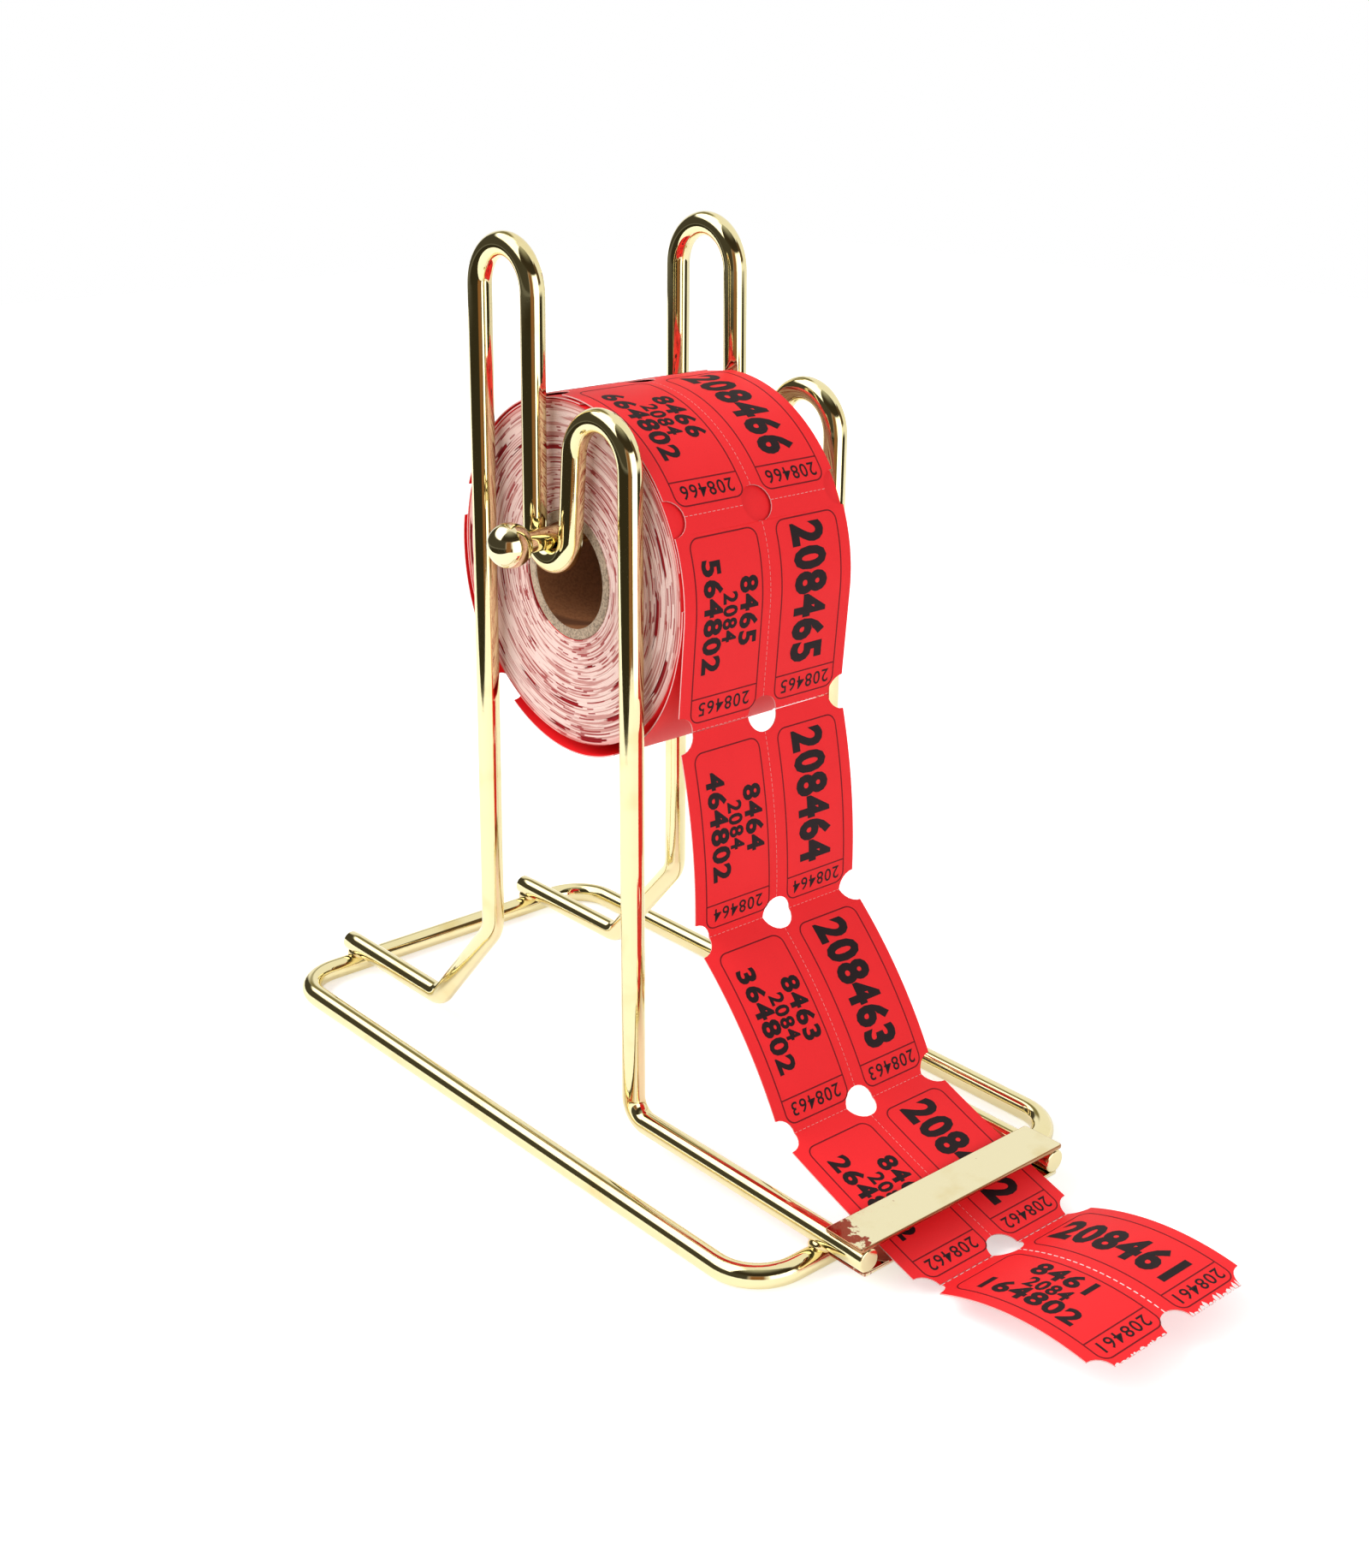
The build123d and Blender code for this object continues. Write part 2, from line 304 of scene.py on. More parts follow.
def made_by(tree, name, base, values):
    """Runs a tree on a base mesh and gives the plain mesh as an object."""
    piece = in_scene(name, base)
    step = piece.modifiers.new("making", "NODES")
    step.node_group = tree
    for item in tree.interface.items_tree:
        if item.item_type == "SOCKET" and item.in_out == "INPUT" and item.name in values:
            step[item.identifier] = values[item.name]
    ready = piece.evaluated_get(bpy.context.evaluated_depsgraph_get())
    plain = bpy.data.meshes.new_from_object(ready)
    plain.name = name
    piece.modifiers.clear()
    piece.data = plain
    return piece


wire_tree, size = start_tree(
    "wire along its path",
    {"Wire thickness": "Float", "Faces round": "Int", "Finish": "Material"},
)
line = add_node(wire_tree, "GeometryNodeMeshToCurve", {"Mesh": size["Path"]}).outputs[0]
half = times(wire_tree, size["Wire thickness"], 0.5)
section = add_node(
    wire_tree, "GeometryNodeCurvePrimitiveCircle",
    {"Resolution": size["Faces round"], "Radius": half},
)
tip_share = add_node(
    wire_tree, "GeometryNodeInputNamedAttribute", {"Name": "tip_share"}, data_type="FLOAT"
).outputs[0]
round_wire = add_node(
    wire_tree, "GeometryNodeCurveToMesh",
    {"Curve": line, "Profile Curve": section.outputs[0], "Scale": tip_share, "Fill Caps": True},
)
smooth_wire = add_node(wire_tree, "GeometryNodeSetShadeSmooth", {"Geometry": round_wire.outputs[0]})
finish_tree(wire_tree, smooth_wire.outputs[0], size["Finish"])


def wire_piece(name, points, closed, thickness, finish):
    """Round wire along points in metres, with lightly rounded cut ends if it is open."""
    count = len(points)
    edges = [(i, i + 1) for i in range(count - 1)]
    base = bpy.data.meshes.new(name)
    base.from_pydata(points, edges + ([(count - 1, 0)] if closed else []), [])
    share = base.attributes.new("tip_share", "FLOAT", "POINT")
    for index, value in enumerate(share.data):
        from_tip = min(index, count - 1 - index)
        value.value = 1 if closed else (0.88, 0.97, 1.0)[min(from_tip, 2)]
    sizes = {"Wire thickness": thickness * mm, "Faces round": 40, "Finish": finish}
    piece = made_by(wire_tree, name, base, sizes)
    for face in piece.data.polygons:
        if len(face.vertices) > 4:
            face.use_smooth = False
    return piece


def noise_at(tree, where, scale, detail):
    """Smooth noise with about scale patches to each metre of where."""
    return add_node(
        tree, "ShaderNodeTexNoise", {"Vector": where, "Scale": scale, "Detail": detail}
    ).outputs[0]


def surfaced(tree, height, strength, relief, inputs):
    """Ends a material in one shader, with height as its bump, as high as relief in metres."""
    bump = add_node(tree, "ShaderNodeBump", {"Height": height, "Strength": strength, "Distance": relief})
    face = add_node(tree, "ShaderNodeBsdfPrincipled", {**inputs, "Normal": bump.outputs[0]})
    add_node(tree, "ShaderNodeOutputMaterial", {"Surface": face.outputs[0]})
    return face


def gold_plating(name, tint, haze, pits, ripple):
    """Pale gold plate over steel. haze is its roughness, pits how far the plate is pocked."""
    finish, tree, spot = new_finish(name)
    cloudy = noise_at(tree, spot, 90.0, 3.0)
    fine = noise_at(tree, spot, 2600.0, 2.0)
    waves = noise_at(tree, spot, 260.0, 1.0)
    pocks = add_node(tree, "ShaderNodeTexVoronoi", {"Vector": spot, "Scale": 1500.0})
    tarnish = tuple(channel * share for channel, share in zip(tint, (0.92, 0.86, 0.72)))
    colour = mixed(tree, eased(tree, cloudy, 0.50, 0.78), tint, tarnish)
    rough = add_node(
        tree, "ShaderNodeMapRange",
        {
            "Value": cloudy, "From Min": 0.3, "From Max": 0.75,
            "To Min": haze * 0.7, "To Max": haze * 1.7,
        },
    ).outputs["Result"]
    pocked = times(tree, eased(tree, pocks.outputs["Distance"], 0.10, 0.32), pits)
    height = worked(tree, "ADD", pocked, times(tree, waves, ripple))
    height = worked(tree, "ADD", height, times(tree, fine, pits * 0.35))
    inputs = {"Base Color": colour, "Metallic": 1.0, "Roughness": rough}
    return finish, tree, surfaced(tree, height, 1.0, 0.00002, inputs), colour


wire_gold, *_ = gold_plating("polished gold plating", (0.90, 0.80, 0.47), 0.055, 0.06, 0.30)
base_width = 103.4
base_length = 194.0
base_corner_r = 12.0
ring_bend_steps = 12
ring_run_step = 6.0

half_wide = base_width / 2
around = round_box(-half_wide, half_wide, -base_length, 0, [base_corner_r] * 4, ring_bend_steps)
rear_left = ring_bend_steps + 1  # where the path starts
ring_plan = [(x, -y) for x, y in around[rear_left:] + around[:rear_left]]
ring_points = []
for (x_a, ahead_a), (x_b, ahead_b) in zip(ring_plan, ring_plan[1:] + ring_plan[:1]):
    pieces = ceil(hypot(x_b - x_a, ahead_b - ahead_a) / ring_run_step)
    for step in range(pieces):
        share = step / pieces
        ring_points.append(
            place(x_a + (x_b - x_a) * share, ahead_a + (ahead_b - ahead_a) * share, wire_d / 2)
        )
base_ring = wire_piece("base_ring_wire", ring_points, True, wire_d, wire_gold)
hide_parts("base_ring")
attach(base_ring, "stand")


# --- Side frames ----------------------------------------------------------------------
# Each side is one steel wire, bent cold over pins in a single plane: rear foot, slope,
# upright, tall loop, saddle for the axle, low loop, front upright, runner. Both ends are
# cropped square and left bare of any cap. The right tall loop was bent a little wider.
weld_set = 0.2
frame_x = 30.95
foot_overhang = 3.5
runner_reach = 208.5
runner_up = 1.5 * wire_d - weld_set
saddle_ahead = 100.5
saddle_up = 149.5
saddle_r = 6.8
bend_step_deg = 7.0
frame_run_step = 5.0
tip_round = 0.35


def frame_bends(loop_back, loop_r):
    """The bends of one side as (ahead, up, radius, turn), from foot tip to runner tip."""
    return [
        (-foot_overhang, runner_up, 0, 1),
        (40.4, runner_up + 6.0, 6.0, 1),
        (62.0, 41.2, 8.0, 1),
        (saddle_ahead - loop_back, saddle_up + 52.9, loop_r, -1),
        (saddle_ahead, saddle_up, saddle_r, 1),
        (saddle_ahead + 18.7, saddle_up + 18.2, 10.0, -1),
        (133.1, runner_up + 5.5, 5.5, 1),
        (runner_reach, runner_up, 0, 1),
    ]


def run_between(bend_a, bend_b):
    """Start, end and heading of the straight run that touches two bends in turn."""
    (ax, ay, a_r, a_turn), (bx, by, b_r, b_turn) = bend_a, bend_b
    heading = atan2(by - ay, bx - ax) + asin((a_turn * a_r - b_turn * b_r) / hypot(bx - ax, by - ay))
    right_x, right_y = sin(heading), -cos(heading)
    start = (ax + right_x * a_turn * a_r, ay + right_y * a_turn * a_r)
    end = (bx + right_x * b_turn * b_r, by + right_y * b_turn * b_r)
    return start, end, heading


def frame_points(bends):
    """Points along a side's wire, in its own plane, close enough for smooth bends."""
    runs = [run_between(a, b) for a, b in zip(bends, bends[1:])]
    points = []
    for index, (start, end, heading) in enumerate(runs):
        steps = ceil(hypot(end[0] - start[0], end[1] - start[1]) / frame_run_step)
        for step in range(steps + (index == len(runs) - 1)):
            share = step / steps
            points.append((start[0] + (end[0] - start[0]) * share, start[1] + (end[1] - start[1]) * share))
        if index == len(runs) - 1:
            break
        middle_x, middle_y, r, turn = bends[index + 1]
        turned = (degrees(runs[index + 1][2] - heading) * turn) % 360
        steps = ceil(turned / bend_step_deg)
        for step in range(steps):
            angle = heading - turn * pi / 2 + turn * radians(turned * step / steps)
            points.append((middle_x + r * cos(angle), middle_y + r * sin(angle)))
    return points


for hand, x, loop_back, loop_r in (("left", -frame_x, 15.3, 10.2), ("right", frame_x, 17.6, 10.6)):
    flat_points = frame_points(frame_bends(loop_back, loop_r))
    first, last = flat_points[0][0], flat_points[-1][0]
    flat_points[1:1] = [(first + tip_round * 0.4, runner_up), (first + tip_round, runner_up)]
    flat_points[-1:-1] = [(last - tip_round, runner_up), (last - tip_round * 0.4, runner_up)]
    side_frame = wire_piece(
        f"side_frame_wire_{hand}", [place(x, *point) for point in flat_points], False, wire_d, wire_gold
    )
    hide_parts(f"side_frame_{hand}")
    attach(side_frame, "stand")


# --- Welds ----------------------------------------------------------------------------
# The rear feet and the runners are resistance-welded where they cross the base ring. The
# softened metal squeezes out into a small lumpy bead, which the plating rounds over.
def mesh_from(shape, name, *finishes):
    """A finished bmesh as a mesh with these materials."""
    mesh = bpy.data.meshes.new(name)
    shape.to_mesh(mesh)
    shape.free()
    for finish in finishes:
        mesh.materials.append(finish)
    return mesh


weld_gold, *_ = gold_plating("plated weld", (0.88, 0.72, 0.38), 0.10, 0.30, 1.2)
weld_across = 2.9
weld_high = 2.1
weld_lump = 0.28
lump_waves = 5
lump_closeness = 2.6
dice = random.Random(11)

weld_shape = bmesh.new()
for x in (-frame_x, frame_x):
    for ahead in (0, base_length):
        middle = place(x, ahead, wire_d - weld_set / 2)
        bead = bmesh.ops.create_icosphere(weld_shape, subdivisions=4, radius=1)
        waves = [
            Vector([dice.uniform(-lump_closeness, lump_closeness) for _ in range(3)])
            for _ in range(lump_waves)
        ]
        for vert in bead["verts"]:
            swell = sum(sin(wave.dot(vert.co) + wave.x * 3) for wave in waves) / len(waves)
            size_here = 1 + swell * weld_lump
            vert.co = middle + Vector(
                (vert.co.x * weld_across, vert.co.y * weld_across, vert.co.z * weld_high)
            ) * size_here * mm
weld_mesh = mesh_from(weld_shape, "weld_beads_plated", weld_gold)
weld_mesh.shade_smooth()
welds = in_scene("weld_beads_plated", weld_mesh)
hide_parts("weld_beads")
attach(welds, "stand")


# --- Tear plate and throat plate --------------------------------------------------------
# Two strips sheared from steel sheet and plated like the wire, spot-welded on top of the
# runners and under them. The strip runs through the slot between them and is torn
# upwards against the front edge of the top one.
def tinted(tree, under, mask, strength, over):
    """The colour under with the colour over on it, where mask is 1 and as far as strength."""
    return mixed(tree, times(tree, mask, strength), under, over)


plate_gold, tree, plate_metal, colour = gold_plating(
    "plated sheet", (0.91, 0.83, 0.56), 0.06, 0.14, 0.5
)
# A painted reflection of the red card: a speckled red-brown patch on the left end,
# strongest towards the back.
spot = add_node(tree, "ShaderNodeTexCoord").outputs["Object"]
from_middle, from_front, _ = add_node(tree, "ShaderNodeSeparateXYZ", {0: spot}).outputs
left_end_mask = eased(tree, times(tree, from_middle, -1.0), 0.0250, 0.0325)
front_y = place(0, runner_reach, 0).y
rear_side = eased(tree, from_front, front_y + 0.001, front_y + 0.010)
painted_reflection_strength = times(tree, left_end_mask, worked(tree, "ADD", times(tree, rear_side, 0.42), 0.26))
painted_reflection_mask = eased(tree, worked(tree, "ADD", noise_at(tree, spot, 620.0, 5.0), painted_reflection_strength), 0.72, 0.82)
painted_red_reflection = tinted(tree, colour, painted_reflection_mask, 0.97, (0.33, 0.038, 0.016))
tree.links.new(painted_red_reflection, plate_metal.inputs["Base Color"])
plate_t = 1.0
plate_seat = 0.1
plate_corner_r = 0.8
shear_round = 0.28
plate_edge = [  # inset and height of the rounded top and bottom edges
    (shear_round, 0), (shear_round * 0.3, shear_round * 0.3), (0, shear_round),
    (0, plate_t - shear_round), (shear_round * 0.3, plate_t - shear_round * 0.3),
    (shear_round, plate_t),
]


def wall_between(shape, ring_a, ring_b, finish, smooth=True):
    """Faces between two rings of as many points. A ring may also be a single point."""
    count = max(len(ring_a), len(ring_b))
    for step in range(count):
        after = (step + 1) % count
        corners = [ring_a[step % len(ring_a)], ring_a[after % len(ring_a)]]
        corners += [ring_b[after % len(ring_b)], ring_b[step % len(ring_b)]]
        face = shape.faces.new(list(dict.fromkeys(corners)))
        face.smooth = smooth
        face.material_index = finish


def sheared_plate(name, width, depth, low, edge_gold):
    """A flat strip with small round corners and rounded edges, level with the runner tips. Its edge walls
    take edge_gold.
    """
    shape = bmesh.new()
    rings = []
    for inset, height in plate_edge:
        half_w, half_d = width / 2 - inset, depth / 2 - inset
        outline = round_box(-half_w, half_w, -half_d, half_d, [plate_corner_r - inset * 0.5] * 4, 6)
        rings.append(
            [shape.verts.new(place(x, runner_reach - depth / 2 - y, low + height)) for x, y in outline]
        )
    for below, above in zip(rings, rings[1:]):
        wall_between(shape, below, above, 1)
    shape.faces.new(rings[-1])
    shape.faces.new(rings[0][::-1])
    return in_scene(name, mesh_from(shape, name, plate_gold, edge_gold))


# The tear plate's edge walls are plated a darker brown gold: painted shade, so that they mirror darker.
shaded_tear_edge, *_ = gold_plating("tear plate edge, painted shade", (0.50, 0.26, 0.13), 0.16, 0.30, 0.5)
# Each plate: how far it reaches past its wires' middles, its depth, its underside, its edge.
for name, side_reach, depth, low, edge_gold in (
    ("tear_plate", 2.45, 11.5, runner_up + wire_d / 2 - plate_seat, shaded_tear_edge),
    ("throat_plate", 1.25, 11.7, runner_up - wire_d / 2 + plate_seat - plate_t, plate_gold),
):
    plate = sheared_plate(f"{name}_sheared", 2 * (frame_x + side_reach), depth, low, edge_gold)
    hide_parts(name)
    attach(plate, "stand")


# --- Axle rod and balls -----------------------------------------------------------------
# A plated steel rod laid in both saddles, with a drilled steel ball pressed on each end
# so that it can't slide out sideways. It lifts straight out to change the roll.
rod_d = 5.3
rod_gap = 0.15
rod_up = saddle_up - saddle_r + wire_d / 2 + rod_gap + rod_d / 2
ball_d = 10.5
ball_play = 4.0
ball_x = frame_x + wire_d / 2 + ball_play + ball_d / 2
rod_in_ball = 4.6
hole_deep = 4.7
rod_half = ball_x - ball_d / 2 + rod_in_ball
ball_gold, *_ = gold_plating("polished ball plating", (0.90, 0.80, 0.52), 0.07, 0.03, 0.12)

rod_steps = 24
rod_tip_round = 0.5
rod_line = [-rod_half, -rod_half + rod_tip_round * 0.4, -rod_half + rod_tip_round]
rod_line += [rod_half * (2 * step / rod_steps - 1) for step in range(1, rod_steps)]
rod_line += [rod_half - rod_tip_round, rod_half - rod_tip_round * 0.4, rod_half]
axle_rod = wire_piece(
    "axle_rod_plated", [place(x, saddle_ahead, rod_up) for x in rod_line], False, rod_d, wire_gold
)
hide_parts("axle_rod")
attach(axle_rod, "axle")


def turned_piece(name, outline, ahead, up, steps, finishes, finish_of):
    """A closed outline of (x, radius) turned round an axis across the stand.

    Radii of 0 make poles. finish_of gives the material number of each outline side.
    """
    shape = bmesh.new()
    rings = []
    for x, r in outline:
        if r == 0:
            rings.append([shape.verts.new(place(x, ahead, up))])
            continue
        angles = [2 * pi * step / steps for step in range(steps)]
        rings.append([shape.verts.new(place(x, ahead + r * cos(a), up + r * sin(a))) for a in angles])
    pairs = list(zip(rings, rings[1:]))
    if len(rings[0]) > 1 and len(rings[-1]) > 1:
        pairs.append((rings[-1], rings[0]))
    for number, (ring_a, ring_b) in enumerate(pairs):
        wall_between(shape, ring_a, ring_b, finish_of(number))
    bmesh.ops.recalc_face_normals(shape, faces=shape.faces)
    mesh = mesh_from(shape, name, *finishes)
    mesh.set_sharp_from_angle(angle=radians(35))
    return in_scene(name, mesh)


hole_play = 0.08
mouth_r = rod_d / 2 + hole_play
mouth_break = 0.35  # the drilled hole's broken edge
ball_steps = 40
for hand, side in (("left", -1), ("right", 1)):
    ball_r = ball_d / 2
    mouth_angle = asin((mouth_r + mouth_break) / ball_r)
    ball_outline = [(side * (ball_x + ball_r), 0)]
    for step in range(1, ball_steps + 1):
        angle = (pi - mouth_angle) * step / ball_steps
        ball_outline.append((side * (ball_x + ball_r * cos(angle)), ball_r * sin(angle)))
    floor_x = ball_x - ball_r + hole_deep
    ball_outline += [
        (side * (ball_x - ball_r * cos(mouth_angle) + mouth_break), mouth_r),
        (side * floor_x, mouth_r),
        (side * floor_x, 0),
    ]
    ball = turned_piece(
        f"ball_{hand}_drilled", ball_outline, saddle_ahead, rod_up, 64, [ball_gold], lambda number: 0
    )
    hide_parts(f"ball_{hand}")
    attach(ball, "axle")


# --- Roll core ------------------------------------------------------------------------
# A tube wound from brown board on a mandrel and cut to the strip's width. The saw leaves
# its ends greyish and furry, and the bore shows the slanting joint of the inner ply.
def matt_finish(name, colour, rough, grain_size, grain_high, contrast):
    """Paper or board: two tones of one colour in a fine grain, with the grain as bump."""
    finish, tree, spot = new_finish(name)
    grain = noise_at(tree, spot, 1 / (grain_size * mm), 3.0)
    darker = tuple(channel * (1 - contrast) for channel in colour)
    tone = mixed(tree, eased(tree, grain, 0.35, 0.70), colour, darker)
    paler = tuple(min(1, channel * (1 + contrast * 0.5)) for channel in colour)
    tone = tinted(tree, tone, eased(tree, noise_at(tree, spot, 70.0, 2.0), 0.4, 0.75), 0.5, paler)
    inputs = {"Base Color": tone, "Roughness": rough, "Specular IOR Level": 0.22}
    return finish, tree, surfaced(tree, grain, 0.6, grain_high * mm, inputs), tone


roll_x = -1.4
ticket_width = 25.4
core_bore_r = 12.7
core_r = 15.3
core_gap = 0.2
axis_up = rod_up + rod_d / 2 + core_gap - core_bore_r


def from_roll_axis(tree):
    """Each place as a vector from the middle of the roll's axis."""
    spot = add_node(tree, "ShaderNodeTexCoord").outputs["Object"]
    return vector_worked(tree, "SUBTRACT", spot, place(0, saddle_ahead, axis_up))[0]


cut_board, *_ = matt_finish("cut board", (0.45, 0.34, 0.24), 0.85, 0.45, 0.15, 0.55)
bore_board, tree, board_face, tone = matt_finish("bore board", (0.30, 0.125, 0.055), 0.9, 0.6, 0.05, 0.25)
board_face.inputs["Specular IOR Level"].default_value = 0.06

joint_turn = 0.085  # metres along the bore in one turn of the slanting joint
joint_half = 0.045  # of a turn, to where its edge has faded
along, back, high = add_node(tree, "ShaderNodeSeparateXYZ", {0: from_roll_axis(tree)}).outputs
turns = worked(tree, "DIVIDE", worked(tree, "ARCTAN2", high, back), 2 * pi)
slanting = worked(tree, "FRACT", worked(tree, "ADD", turns, worked(tree, "DIVIDE", along, joint_turn)))
joint = eased(tree, worked(tree, "ABSOLUTE", worked(tree, "SUBTRACT", slanting, 0.5)), joint_half, 0.012)
joined = mixed(tree, joint, tone, (0.13, 0.055, 0.028))
tree.links.new(joined, board_face.inputs["Base Color"])

core_edge = 0.25
left_x, right_x = roll_x - ticket_width, roll_x + ticket_width
core_outline = [
    (left_x + core_edge, core_bore_r), (left_x, core_bore_r + core_edge),
    (left_x, core_r - core_edge), (left_x + core_edge, core_r),
    (right_x - core_edge, core_r), (right_x, core_r - core_edge),
    (right_x, core_bore_r + core_edge), (right_x - core_edge, core_bore_r),
]
bore_side = len(core_outline) - 1
core = turned_piece(
    "core_tube", core_outline, saddle_ahead, axis_up, 96, [cut_board, bore_board],
    lambda number: int(number == bore_side),
)
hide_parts("roll_core")
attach(core, "roll")


# --- Close turns of the strip -----------------------------------------------------------
# About ninety turns of red card pulled tight round the core. The slit edges of the card
# are a pinkish white, no two turns lie quite level, and where one sits deeper the red
# face of its neighbour shows as a dark broken line, drawn darker than the card as painted
# shade in the recess.
card_red = (0.87, 0.021, 0.026)
red_card, *_ = matt_finish("red card", card_red, 0.52, 0.16, 0.02, 0.07)
winding_gap = 0.1
winding_in_r = core_r + winding_gap
winding_r = 40.6
turn_count = 90
angle_steps = 120
turn_t = (winding_r - winding_in_r) / turn_count
groove = 0.045
crest_from, crest_to = 0.28, 0.85  # the flat of a turn's edge, as shares of its thickness
level_spread = 0.035
least_deep = 0.01
rim_deep = 0.05
dice = random.Random(23)
# Where turns have slipped inwards: angle, half its spread, first and last turn, depth.
slipped = [
    (205, 30, 0, 2, 0.55), (150, 14, 8, 10, 0.40), (168, 9, 14, 16, 0.36), (268, 12, 55, 58, 0.45),
    (281, 10, 84, 87, 0.45), (262, 6, 81, 84, 0.42), (355, 16, 59, 62, 0.45), (333, 10, 77, 80, 0.45),
    (120, 12, 60, 62, 0.40), (135, 9, 70, 73, 0.42), (100, 10, 50, 52, 0.36), (232, 8, 30, 32, 0.36),
    (240, 10, 64, 66, 0.38), (190, 14, 40, 42, 0.36), (215, 10, 75, 78, 0.42), (20, 14, 71, 74, 0.40),
    (310, 9, 45, 47, 0.36), (300, 8, 68, 71, 0.40), (60, 12, 78, 81, 0.38), (8, 9, 28, 30, 0.36),
    (180, 11, 84, 87, 0.42), (155, 10, 56, 58, 0.38), (78, 9, 20, 22, 0.36), (290, 7, 22, 23, 0.36),
]


def winding_side(side):
    """One face of the roll: for each turn its groove and both edges, with their depth."""
    lean = [
        (dice.gauss(0, level_spread), dice.uniform(0, 0.05), dice.uniform(0, 2 * pi))
        for _ in range(turn_count)
    ]
    ragged = [[dice.uniform(0.35, 1.0) for _ in range(2)] for _ in range(turn_count)]
    rings = []
    for turn in range(turn_count):
        level, wave, start = lean[turn]
        for inward, across_turn in ((groove, 0.0), (0, crest_from), (0, crest_to)):
            r = winding_in_r + (turn + across_turn) * turn_t
            ring = []
            for step in range(angle_steps):
                angle = 2 * pi * step / angle_steps
                depth = inward + max(0, level + wave * sin(angle + start)) + least_deep
                for middle, spread, turn_from, turn_to, slip in slipped:
                    away = abs((degrees(angle) - middle + 180) % 360 - 180)
                    if turn_from <= turn <= turn_to and away < spread * ragged[turn][side]:
                        depth += slip
                ring.append((r, angle, depth))
            rings.append(ring)
    rings.append([(winding_r, 2 * pi * step / angle_steps, rim_deep) for step in range(angle_steps)])
    return rings


shape = bmesh.new()
deep = shape.verts.layers.float.new("depth")
edge_rings = []
for side, face_x, inwards in ((0, left_x, 1), (1, right_x, -1)):
    placed_rings = []
    for ring in winding_side(side):
        placed = []
        for r, angle, depth in ring:
            vert = shape.verts.new(
                place(face_x + inwards * depth, saddle_ahead + r * cos(angle), axis_up + r * sin(angle))
            )
            vert[deep] = depth
            placed.append(vert)
        placed_rings.append(placed)
    for inner, outer in zip(placed_rings, placed_rings[1:]):
        wall_between(shape, *((inner, outer) if side else (outer, inner)), 0, smooth=False)
    edge_rings.append((placed_rings[0], placed_rings[-1]))
(left_inner, left_outer), (right_inner, right_outer) = edge_rings
wall_between(shape, left_inner, right_inner, 1)
wall_between(shape, right_outer, left_outer, 1)
bmesh.ops.recalc_face_normals(shape, faces=shape.faces)

slit_edges, tree, edge_face, tone = matt_finish(
    "slit card edges", (0.79, 0.58, 0.52), 0.75, 0.30, 0.04, 0.10
)
flat = vector_worked(tree, "MULTIPLY", from_roll_axis(tree), (0, 1, 1))[0]
radius = vector_worked(tree, "LENGTH", flat)["Value"]
heading = vector_worked(tree, "NORMALIZE", flat)[0]


def broken_arcs(arc_freq, turns_together, shift):
    """Noise that runs along the turns: each turn, or few turns, has arcs of its own."""
    drawn_out = vector_worked(tree, "MULTIPLY", heading, (0, arc_freq, arc_freq))[0]
    turn_number = worked(tree, "FLOOR", worked(tree, "DIVIDE", radius, turns_together * turn_t * mm))
    far_apart = worked(tree, "ADD", times(tree, turn_number, 7.31), shift)
    of_turn = add_node(tree, "ShaderNodeCombineXYZ", {0: far_apart}).outputs[0]
    return noise_at(tree, vector_worked(tree, "ADD", drawn_out, of_turn)[0], 1.0, 1.0)


fine_lines = eased(tree, broken_arcs(1.9, 1.0, 0.0), 0.49, 0.58)
strong_lines = eased(tree, broken_arcs(3.0, 1.3, 40.0), 0.60, 0.62)
bands = eased(tree, broken_arcs(1.2, 9.0, 80.0), 0.35, 0.75)
near_rim = eased(tree, radius, (winding_r - 2.1) * mm, (winding_r - 0.2) * mm)
tone = tinted(tree, tone, bands, 0.30, (0.74, 0.50, 0.46))
tone = tinted(tree, tone, fine_lines, 0.70, (0.42, 0.12, 0.10))
tone = tinted(tree, tone, strong_lines, 0.85, (0.30, 0.018, 0.020))
tone = tinted(tree, tone, near_rim, 0.45, (0.62, 0.08, 0.07))
# Where a turn sits deep, its edge is painted dark red: partly the red face of its neighbour, partly
# painted shade in the recess.
how_deep = add_node(tree, "ShaderNodeAttribute", attribute_name="depth").outputs["Fac"]
tone = mixed(tree, eased(tree, how_deep, 0.16, 0.34), tone, (0.30, 0.010, 0.014))
tree.links.new(tone, edge_face.inputs["Base Color"])
close_turns = in_scene("close_turns", mesh_from(shape, "close_turns", slit_edges, red_card))
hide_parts("ticket_winding")
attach(close_turns, "roll")


# --- Ticket strip: its line in the side view ----------------------------------------------
# Stiff red card, two tickets wide, perforated every 50 mm. From its tail it goes loosely
# over the back of the roll, leaves the roll's front straight down, leans forwards, and
# runs through the throat to a free pair of tickets that springs up off the counter.
ticket_t = 0.3
tight_r = 41.85
loose_r = 42.8
tail_r = 41.05
leave_angle = -5.1
tight_end = leave_angle + 105.0
loose_end = tight_end + 150.0
tail_end = loose_end + 96.0
under_sweep = 235.0  # how far the strip goes on as the next turn, under its own start
hang_run = 25.6
path_step = 0.8
pitch = 50.0


def out_from(centre, r, angle_deg):
    """The point at that angle on a circle in the side view, anticlockwise from ahead."""
    return Vector((centre[0] + r * cos(radians(angle_deg)), centre[1] + r * sin(radians(angle_deg))))


def arc_line(centre, r, from_deg, to_deg):
    """Points along an arc, a short step apart, without its last one."""
    steps = ceil(abs(radians(to_deg - from_deg)) * r / path_step)
    return [out_from(centre, r, from_deg + (to_deg - from_deg) * step / steps) for step in range(steps)]


def bowed_line(start, end, bow):
    """Points along a ticket that bows to its left by that much, without its last one."""
    chord = end - start
    left_hand = Vector((-chord.y, chord.x)).normalized()
    r = (chord.length ** 2 / 4 + bow ** 2) / (2 * abs(bow))
    towards_bow = left_hand * (1 if bow > 0 else -1)
    centre = (start + end) / 2 + towards_bow * (abs(bow) - r)
    half_angle = asin(chord.length / 2 / r)
    steps = ceil(pitch / path_step)
    line = []
    for step in range(steps):
        swing = half_angle * (2 * step / steps - 1)
        line.append(centre + towards_bow * r * cos(swing) + chord.normalized() * r * sin(swing))
    return line


